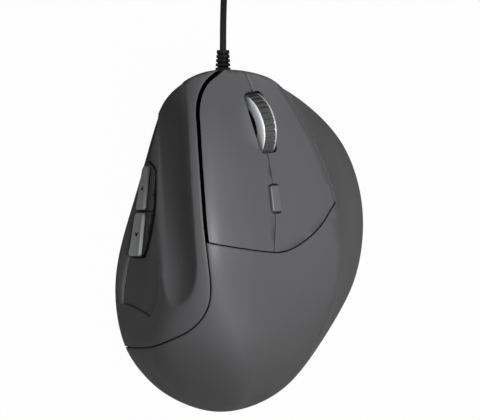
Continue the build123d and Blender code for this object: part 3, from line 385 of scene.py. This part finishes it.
print("nodes to dress:", len(nodes))

# %% [markdown]
# ## Skins with smooth light
# The frame's shells are loose triangles, so light breaks at each of them. Modelling every shell
# again would lose the fit of its seams. Instead a copy is welded, and every edge flatter than a
# threshold angle shades smoothly, while seams and rims stay crisp. The copy takes the place of the
# shell and rides on the same body.

# %% Welded copies
weld_distance = 0.000002
crease_angle = math.radians(28)
slots = {part["node"]: part["material_slot"] for part in frame["record"]["subparts"]}


def skin(name, body):
    """A smooth-shaded copy of a dressed node that replaces it."""
    mesh = nodes[name].data.copy()
    mesh.name = name + "_skin"
    shape = bmesh.new()
    shape.from_mesh(mesh)
    bmesh.ops.remove_doubles(shape, verts=shape.verts, dist=weld_distance)
    for face in shape.faces:
        face.smooth = True
    shape.to_mesh(mesh)
    shape.free()
    mesh.set_sharp_from_angle(angle=crease_angle)
    add_piece(name + "_skin", mesh, body, slots[name], name)
    print(name, "triangles", len(mesh.polygons))


print("slots in the record:", len(set(slots.values())))

# %% [markdown]
# ## The shell and the keys
# The thumb-side housing, the palm cover and both keys are sprayed with the same dark grey
# soft-touch lacquer. One material for all four would be simpler, but on the shell the edges that a
# hand feels are eased by about a millimetre, and the keys' edges along the seams are crisp. So the
# keys get the same coat with less easing. The base plate is bare black with a coarser grain.

# %% Shell and keys
lacquer_grey = (0.093, 0.093, 0.096)
lacquer = {"rough": 0.46, "grain": 4200.0, "depth": 0.00002, "specular": 0.3}
base_black = coated("base_black", (0.012, 0.012, 0.012), rough=0.6, grain=1800.0, depth=0.00006, ease=0.0004)
dress(coated("soft_touch_grey", lacquer_grey, ease=0.0012, **lacquer), "left_housing", "palm_cover")
dress(coated("soft_touch_key", lacquer_grey, **lacquer), "left_button", "right_button")
dress(base_black, "base_plate")
skin("left_housing", "base")
skin("palm_cover", "base")
skin("left_button", "left_key")
skin("right_button", "right_key")
skin("base_plate", "base")

# %% [markdown]
# ## The thumb side
# A soft rubber panel carries two glossier black buttons, and on each lies a light cap, which shows
# from above as a bright strip. Lacquer on the panel would look too fine, so the rubber has a deeper
# and coarser grain, at nearly the same grey.

# %% Thumb panel and buttons
rubber = coated(
    "thumb_rubber",
    (0.094, 0.094, 0.095),
    rough=0.5,
    grain=2600.0,
    depth=0.00003,
    ease=0.0004,
    patchiness=0.1,
    specular=0.3,
)
side_black = coated(
    "side_button_black",
    (0.005, 0.005, 0.0055),
    rough=0.3,
    grain=4200.0,
    ease=0.0003,
    patchiness=0.1,
    specular=0.08,
)
cap_grey = coated("cap_grey", (0.6, 0.605, 0.61), rough=0.34, grain=4200.0, ease=0.0004, patchiness=0.04)
dress(rubber, "thumb_panel")
dress(side_black, "forward_button", "back_button")
dress(cap_grey, "forward_cap", "back_cap")
skin("thumb_panel", "base")
for thumb_key in ("forward", "back"):
    skin(thumb_key + "_button", thumb_key)
    skin(thumb_key + "_cap", thumb_key)

# %% [markdown]
# ## What lies inside
# Chassis, carrier, switches and boards show only through seams and the wheel's opening, where they
# must be dark, or light would seem to leak. Plungers, the cord's socket and the plug's tongue are
# white. The boards are green lacquer over woven glass: the weave could be modelled, but a brick
# pattern as a bump is enough for something so deep inside. The sensor looks out through clear
# moulded plastic.

# %% Black, white and red plastic
inner_black = coated(
    "inner_black", (0.004, 0.004, 0.004), rough=0.7, depth=0.00002, patchiness=0.1, specular=0.1
)
switch_white = coated("switch_white", (0.75, 0.75, 0.72), rough=0.35, patchiness=0.03)
lamp_red = coated("lamp_red", (0.5, 0.02, 0.02), rough=0.15, patchiness=0.03)
dress(inner_black, "chassis", "wheel_carrier", "wheel_hub", "rotary_encoder", "sensor_chip")
dress(inner_black, "left_switch", "right_switch")
for switch in ("left", "right", "wheel_tact", "dpi_tact", "forward_tact", "back_tact"):
    dress(switch_white, switch + "_plunger")
dress(switch_white, "cord_socket", "usb_tongue")
dress(lamp_red, "sensor_lamp")

# %% Boards
weave_scale = 1400.0
weave_gap = 0.05
weave_depth = 0.000005
weave_strength = 0.3
board = Finish("board_green")
weave_inputs = {"Vector": board.place(), "Scale": weave_scale, "Mortar Size": weave_gap}
weave = board.node("ShaderNodeTexBrick", inputs=weave_inputs, output="Fac")
board_green = board.shade(
    Base_Color=board.tinted((0.003, 0.018, 0.008), (0.006, 0.03, 0.014), board.noise(300.0)),
    Roughness=0.3 + 0.08 * board.noise(200.0),
    Normal=board.bumped(weave, weave_depth, weave_strength),
)
dress(board_green, "main_board", "button_board", "side_board")
row_height = weave.socket.node.inputs["Row Height"].default_value / weave_scale
print("rows of the weave:", round(1000 * row_height, 2), "mm")

# %% Sensor lens
light_bending = 1.49
clear = Finish("lens_clear")
lens_clear = clear.shade(
    Base_Color=clear.tinted((0.9, 0.92, 0.93), (0.96, 0.97, 0.98), clear.noise(400.0)),
    Roughness=0.05 + 0.05 * clear.noise(900.0),
    IOR=light_bending,
    Transmission_Weight=0.9,
)
dress(lens_clear, "sensor_lens")
print("the lens bends light by", light_bending)

# %% [markdown]
# ## Arrows on the thumb caps
# Each cap carries a small dark arrow, forward on one and back on the other. It could be a pattern in
# the cap's material, but a thin wedge has a crisp outline from any distance. Rays from the thumb's
# side find the places of its corners on the cap, so that it follows the cap's curve, and an extrusion
# sinks it into the cap by a hair.

# %% Corners of an arrow
arrow_outline = [(-0.5, 0.5), (0.5, 0.0), (-0.5, -0.5), (-0.2, 0.0)]
arrow_length = 0.0018
arrow_height = 0.0026
arrow_proud = 0.00008
arrow_sunk = 0.0003
thumb_side_x = -0.2


def arrow_corners(cap, direction):
    """Where an arrow's corners lie, a hair outside a cap's outer face."""
    triangles = nodes[cap].data
    places = [vertex.co for vertex in triangles.vertices]
    surface = BVHTree.FromPolygons(places, [face.vertices for face in triangles.polygons])
    low, high = (Vector(corner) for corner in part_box(cap))
    corners = []
    for ahead, up in arrow_outline:
        y = (low.y + high.y) / 2 + direction * ahead * arrow_length
        z = (low.z + high.z) / 2 + up * arrow_height
        hit = surface.ray_cast(Vector((thumb_side_x, y, z)), Vector((1, 0, 0)))[0]
        corners.append(hit - Vector((arrow_proud, 0, 0)))
    return corners


print("corners of an arrow:", len(arrow_outline))

# %% Arrows
def arrow(name, body, cap, direction):
    """A thin arrowhead on a cap, forward for 1 and back for -1."""
    shape = bmesh.new()
    upper, tip, lower, notch = [shape.verts.new(corner) for corner in arrow_corners(cap, direction)]
    shape.faces.new((upper, tip, notch))
    shape.faces.new((tip, lower, notch))
    flat = shape.verts[:] + shape.edges[:] + shape.faces[:]
    grown = bmesh.ops.extrude_face_region(shape, geom=flat, use_keep_orig=True)["geom"]
    sunk = [vertex for vertex in grown if isinstance(vertex, bmesh.types.BMVert)]
    bmesh.ops.translate(shape, verts=sunk, vec=(arrow_proud + arrow_sunk, 0, 0))
    bmesh.ops.recalc_face_normals(shape, faces=shape.faces)
    print(name, "faces", len(shape.faces), "closed", all(edge.is_manifold for edge in shape.edges))
    mesh = mesh_of(shape, name)
    mesh.materials.append(inner_black)
    add_piece(name, mesh, body, "black_plastic")


arrow("forward_arrow", "forward", "forward_cap", 1)
arrow("back_arrow", "back", "back_cap", -1)

# %% [markdown]
# ## The wheel and the speed button
# A ribbed rubber tyre runs between two bright rims on a steel axle. The rims are satin rather than
# polished, because a polished one would mirror the dark deck beside it and look grey. Behind the
# wheel sits the speed button, a little smoother than the keys around it, as small mouldings are.

# %% Tyre, rims and speed button
tyre_black = coated("tyre_black", (0.055, 0.055, 0.055), rough=0.35, depth=0.00003, ease=0.00015)
rim_chrome = metal("rim_chrome", (0.98, 0.98, 0.98), rough=0.42, scratch=1500.0, ease=0.0001)
speed_grey = coated("speed_button_grey", (0.1, 0.1, 0.103), rough=0.36, grain=4200.0, ease=0.0004)
dress(tyre_black, "wheel_tyre")
dress(rim_chrome, "wheel_rim_left", "wheel_rim_right")
dress(speed_grey, "dpi_button")
skin("wheel_tyre", "wheel")
skin("dpi_button", "dpi")

# %% [markdown]
# ## Domed rims
# In the photograph the left rim is a white crescent and the right one a thin line beside the tyre.
# A flat ring mirrors only one direction and stays grey, so each rim gets a domed side. Its outline
# runs from the edge beside the tyre to the bore: a power of 1 would make it a quarter of an ellipse,
# a higher one draws it towards a cone and a lower one makes it fuller. The right rim also stands a
# hair further out than its solid, so that its edge shows beside the tyre. A spin about the wheel's
# own axle closes each ring, with the two ends merged.

# %% Axle and the space of a rim
wheel_joint = next(joint for joint in frame["joints"] if joint["name"] == "wheel_roll")
axle = Vector(wheel_joint["axis"]).normalized()
hub_middle = Vector(wheel_joint["pos_m"])
across = axle.orthogonal().normalized()


def rim_space(name):
    """A rim's bore and outer radius, and where its inner and outer side lie along the axle."""
    along = []
    reach = []
    for vertex in nodes[name].data.vertices:
        offset = vertex.co - hub_middle
        depth = offset.dot(axle)
        along.append(depth)
        reach.append((offset - axle * depth).length)
    near, far = sorted((min(along), max(along)), key=abs)
    return min(reach), max(reach), near, far


print("bore of the left rim:", round(2000 * rim_space("wheel_rim_left")[0], 1), "mm")

# %% Turned rims
rim_steps = 96
dome_steps = 14


def turned_rim(name, dome_power, proud):
    """A ring with a domed outer side in place of a flat one, and proud of it at its edge."""
    inner, outer, near, far = rim_space(name)
    outer += proud
    outline = [(near, inner)]
    for step in range(dome_steps + 1):
        turn = math.pi / 2 * step / dome_steps
        out = math.sin(turn) ** dome_power
        rise = math.cos(turn) ** dome_power
        outline.append((near + (far - near) * out, inner + (outer - inner) * rise))
    shape = bmesh.new()
    profile = [shape.verts.new(hub_middle + axle * depth + across * radius) for depth, radius in outline]
    edges = [shape.edges.new(pair) for pair in zip(profile, profile[1:] + profile[:1])]
    bmesh.ops.spin(
        shape,
        geom=profile + edges,
        cent=hub_middle,
        axis=axle,
        angle=2 * math.pi,
        steps=rim_steps,
        use_merge=True,
    )
    for face in shape.faces:
        face.smooth = True
    bmesh.ops.recalc_face_normals(shape, faces=shape.faces)
    mesh = mesh_of(shape, name + "_turned")
    mesh.set_sharp_from_angle(angle=crease_angle)
    mesh.materials.append(rim_chrome)
    add_piece(name + "_turned", mesh, "wheel", "rim_chrome", name)
    print(name, "faces", len(mesh.polygons), "radius", round(1000 * outer, 2), "mm")


turned_rim("wheel_rim_left", dome_power=1.3, proud=0.0)
turned_rim("wheel_rim_right", dome_power=0.5, proud=0.00045)

# %% [markdown]
# ## Steel, feet and screws
# The axle, the pin that the keys turn on, the small switches' housings and the screws are plain
# steel. The feet are a smooth slippery plastic. All of them are hidden in the photograph and could
# stay bare, but the underside and the moved keys let some of them show.

# %% Steel and feet
plain_steel = metal("plain_steel", (0.55, 0.55, 0.56), rough=0.35, scratch=3000.0)
foot_slide = coated("foot_slide", (0.05, 0.05, 0.05), rough=0.28)
dress(plain_steel, "wheel_axle", "hinge_pin", "wheel_tact", "dpi_tact", "forward_tact", "back_tact")
dress(plain_steel, *("screw_" + str(number) for number in range(1, 7)))
dress(foot_slide, *("foot_" + side for side in ("front", "rear", "left", "right")))
print("nodes dressed so far:", len(dressed))

# %% [markdown]
# ## The cord's jacket, boot and plug
# The cord has a black jacket, slightly shinier than the shell. The ribbed boot is moulded of the
# same material, the tie and the plug's grip of a duller one, and the plug's shell is sheet metal.

# %% Jacket, boot and plug
jacket_black = coated(
    "jacket_black", (0.006, 0.006, 0.0065), rough=0.42, grain=3500.0, patchiness=0.1, specular=0.2
)
grip_black = coated(
    "grip_black", (0.009, 0.009, 0.009), rough=0.5, depth=0.00002, ease=0.0006, patchiness=0.1, specular=0.25
)
plug_sheet = metal("plug_sheet", (0.75, 0.76, 0.77), rough=0.24, scratch=2000.0)
dress(jacket_black, "inner_lead", "strain_relief", "cable", "cable_coil", "cable_tail")
dress(grip_black, "usb_grip", "cable_tie")
dress(plug_sheet, "usb_shell")
skin("strain_relief", "base")
print("nodes dressed:", len(dressed), "of", len(nodes))

# %% [markdown]
# ## The way of the cord
# The cord leaves the boot at the front, drops to the desk under its own weight and is wound, just
# outside the picture, into a neat coil with a tie, because nearly a metre and a half has to go
# somewhere. A few points are enough for the loose stretch. The coil's turns are half circles that
# spiral in and out again, layer on layer, so a loop works out their points instead of a table.

# %% From the boot to the coil
cord_diameter = 0.0022
coil_gap = 0.00095
coil_pitch = cord_diameter + coil_gap
coil_layers = 4
steps_per_layer = 8
coil_mid_diameters = 12
coil_outer = coil_mid_diameters * cord_diameter / 2 + (steps_per_layer - 1) * coil_pitch / 4
tie_rest = 0.00002
tie_thickness = 0.0008
tie_gap = 0.0003
start = Vector((-0.0054, 0.06117, 0.0097))
coil_x = start.x + coil_outer
coil_y = 0.11547
coil_z = tie_rest + tie_thickness + tie_gap + cord_diameter / 2
route = [
    start,
    start + Vector((0, 0.0104, 0)),
    Vector((start.x + 0.0005, start.y + 0.0235, 0.0014)),
    Vector((start.x + 0.0002, start.y + 0.0345, 0.0012)),
    Vector((start.x, coil_y - 0.0095, coil_z)),
]
print("coil:", round(2000 * coil_outer + 1000 * cord_diameter), "mm across,", coil_layers, "layers")

# %% Ends of the coil's half turns
half_ends = []
for layer in range(coil_layers):
    inwards = range(steps_per_layer)
    for step in inwards if layer % 2 == 0 else reversed(inwards):
        side = -1 if len(half_ends) % 2 == 0 else 1
        radius = coil_outer - step * coil_pitch / 2
        half_ends.append(Vector((coil_x + side * radius, coil_y, coil_z + layer * coil_pitch)))
top_z = coil_z + (coil_layers - 1) * coil_pitch
tail = Vector((coil_x - coil_outer - coil_pitch / 2, coil_y, top_z))
half_ends.append(tail)
print("half turns:", len(half_ends) - 1)

# %% [markdown]
# ## Points along each half turn
# The curve will touch the middles of the lines between its points and cut inside the points
# themselves. With the points on the circle, each turn would come out too small, so they swell
# outwards by the little that brings those middles onto it.

# %% Half turns, and the tail to the plug
points_per_half = 8
swell = 1 / math.cos(math.pi / (2 * points_per_half))
for index, (first, second) in enumerate(zip(half_ends, half_ends[1:])):
    ahead = 1 if index % 2 == 0 else -1
    bulge = Vector((0, ahead, 0)) * ((second - first).length / 2)
    for point in range(points_per_half):
        turn = math.pi * (point + 0.5) / points_per_half
        arm = (first - second) / 2 * math.cos(turn) + bulge * math.sin(turn)
        route.append((first + second) / 2 + swell * arm)
plug_z = 0.0038
route += [
    tail + Vector((0, 0.01, 0)),
    Vector((tail.x - 0.0003, coil_y + 0.027, 0.0065)),
    Vector((tail.x + 0.012, coil_y + 0.034, plug_z)),
    Vector((tail.x + 0.025, coil_y + 0.034, plug_z)),
]
print("points along the cord:", len(route))

# %% [markdown]
# ## One smooth curve
# A cord has no corners. A polyline with a thickness would show each of its points as a bend, and a
# Bezier curve needs two handles for each. A NURBS spline takes the points as they are and runs
# smoothly past them. Its order and its pinned ends are set after the points are there, because set
# before, the order is lost.

# %% Cord
curve = bpy.data.curves.new("cord", "CURVE")
curve.dimensions = "3D"
curve.bevel_depth = cord_diameter / 2
curve.bevel_resolution = 6
curve.resolution_u = 4
curve.use_fill_caps = True
line = curve.splines.new("NURBS")
line.points.add(len(route) - 1)
for spot, point in zip(line.points, route):
    spot.co = (*point, 1)
line.order_u = 3
line.use_endpoint_u = True
curve.materials.append(jacket_black)
cord = add_piece("cord", curve, "base", "cord_black", "cable", "cable_coil", "cable_tail")
